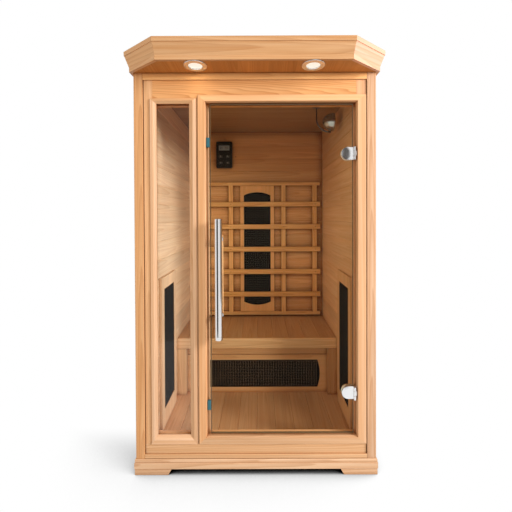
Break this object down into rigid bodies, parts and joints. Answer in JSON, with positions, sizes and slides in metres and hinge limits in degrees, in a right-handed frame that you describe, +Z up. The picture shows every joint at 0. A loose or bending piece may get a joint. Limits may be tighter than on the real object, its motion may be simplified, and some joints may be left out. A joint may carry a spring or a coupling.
{
  "type": "infrared sauna cabin",
  "caption": "Wooden infrared sauna cabin with a hinged glass door, side window, flared roof crown, bench, slatted backrest and heater panels.",
  "frame": {"origin": "middle of the footprint of the whole cabin, crown included, at floor level", "axes": "+Z up, the door faces -Y, +X to the right of a person who faces the door"},
  "size_m": [1.16, 1.188, 1.9],
  "materials": {
    "wood": "satin softwood",
    "door_glass": "bronze tint, polished",
    "window_glass": "clear, polished",
    "chrome": "polished",
    "rubber": "satin",
    "heater": "matte mesh",
    "control_black": "gloss",
    "key_black": "satin",
    "lens": "frosted",
    "power_box": "satin"
  },
  "bodies": {
    "cabin": {"backrest_frame": "wood", "backrest_slat_1": "wood", "backrest_slat_2": "wood", "backrest_slat_3": "wood", "backrest_slat_4": "wood", "backrest_slat_5": "wood", "bench_apron": "wood", "bench_leg_left": "wood", "bench_leg_right": "wood", "bench_seat": "wood", "bottom_rail": "wood", "catch_pad_lower": "rubber", "catch_pad_upper": "rubber", "control_housing": "control_black", "crown_front": "wood", "crown_left": "wood", "crown_right": "wood", "door_casing": "wood", "downlight_left_lens": "lens", "downlight_left_ring": "chrome", "downlight_right_lens": "lens", "downlight_right_ring": "chrome", "floor_panel": "wood", "header_board": "wood", "heater_back_frame": "wood", "heater_back_panel": "heater", "heater_bench_frame": "wood", "heater_bench_panel": "heater", "heater_left_frame": "wood", "heater_left_panel": "heater", "heater_right_frame": "wood", "heater_right_panel": "heater", "hinge_lower_leaf": "chrome", "hinge_upper_leaf": "chrome", "lamp_yoke": "chrome", "mullion": "wood", "plinth_front": "wood", "plinth_left": "wood", "plinth_right": "wood", "post_left": "wood", "post_right": "wood", "power_box": "power_box", "roof_panel": "wood", "stile_left": "wood", "stile_right": "wood", "wall_back": "wood", "wall_left": "wood", "wall_right": "wood", "window_casing": "wood", "window_glass": "window_glass"},
    "door": {"door_glass": "door_glass", "door_handle": "chrome", "door_pull": "wood", "hinge_upper_clamp": "chrome", "hinge_lower_clamp": "chrome"},
    "lamp_shade": {"lamp_dome": "chrome"},
    "key_1": {"control_key_1": "key_black"},
    "key_2": {"control_key_2": "key_black"},
    "key_3": {"control_key_3": "key_black"},
    "key_4": {"control_key_4": "key_black"}
  },
  "joints": [
    {"name": "door_hinge", "type": "hinge", "parent": "cabin", "child": "door", "pos_m": [0.45, -0.449, 0.9], "axis": [0, 0, 1], "range_deg": [0, 100]},
    {"name": "lamp_swivel", "type": "hinge", "parent": "cabin", "child": "lamp_shade", "pos_m": [0.435, -0.009, 1.673], "axis": [0, 0, 1], "range_deg": [-100, 100]},
    {"name": "key_1_press", "type": "slide", "parent": "cabin", "child": "key_1", "axis": [0, 1, 0], "range_m": [0, 0.001], "stiffness_N_per_m": 400},
    {"name": "key_2_press", "type": "slide", "parent": "cabin", "child": "key_2", "axis": [0, 1, 0], "range_m": [0, 0.001], "stiffness_N_per_m": 400},
    {"name": "key_3_press", "type": "slide", "parent": "cabin", "child": "key_3", "axis": [0, 1, 0], "range_m": [0, 0.001], "stiffness_N_per_m": 400},
    {"name": "key_4_press", "type": "slide", "parent": "cabin", "child": "key_4", "axis": [0, 1, 0], "range_m": [0, 0.001], "stiffness_N_per_m": 400}
  ]
}
